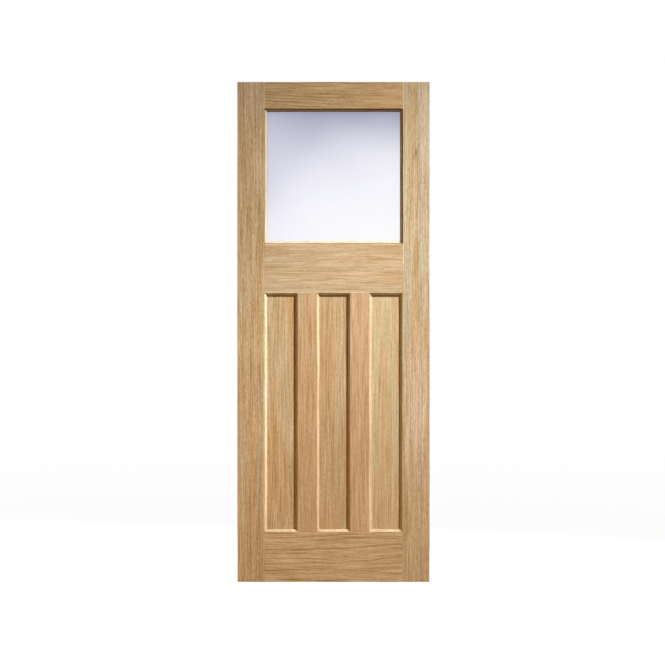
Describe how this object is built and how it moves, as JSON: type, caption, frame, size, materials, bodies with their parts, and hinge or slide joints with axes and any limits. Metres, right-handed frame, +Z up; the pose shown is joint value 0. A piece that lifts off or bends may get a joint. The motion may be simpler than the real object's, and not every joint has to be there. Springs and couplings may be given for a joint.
{
  "type": "glazed panel door",
  "caption": "Oak door leaf with one obscured glass pane at the top over tall flat panels, built from stiles, rails, muntins and mitred glazing beads.",
  "frame": {"origin": "on the hinge edge at its lower end, at mid thickness", "axes": "+X across the leaf from the hinge edge to the lock edge, +Z up the leaf, and -Y out of the face with the glazing beads, the one that faces the viewer in the picture"},
  "size_m": [0.762, 0.035, 1.981],
  "materials": {
    "oak_veneer": "satin lacquered oak veneer",
    "oak_lipping": "satin lacquered solid oak",
    "oak_muntin": "satin lacquered solid oak",
    "oak_panel": "satin lacquered oak veneer",
    "oak_bead": "satin lacquered solid oak",
    "obscured_glass": "toughened glass, acid etched"
  },
  "bodies": {
    "root": {"left_stile": "oak_veneer", "left_stile_edge_lipping": "oak_lipping", "left_stile_moulded_lipping": "oak_lipping", "right_stile": "oak_veneer", "right_stile_edge_lipping": "oak_lipping", "right_stile_moulded_lipping": "oak_lipping", "top_rail": "oak_veneer", "top_rail_lipping": "oak_lipping", "middle_rail": "oak_veneer", "middle_rail_upper_lipping": "oak_lipping", "middle_rail_lower_lipping": "oak_lipping", "bottom_rail": "oak_veneer", "bottom_rail_lipping": "oak_lipping", "left_muntin": "oak_muntin", "right_muntin": "oak_muntin", "left_panel": "oak_panel", "centre_panel": "oak_panel", "right_panel": "oak_panel", "glass_pane": "obscured_glass", "top_bead": "oak_bead", "bottom_bead": "oak_bead", "left_bead": "oak_bead", "right_bead": "oak_bead"}
  },
  "joints": []
}
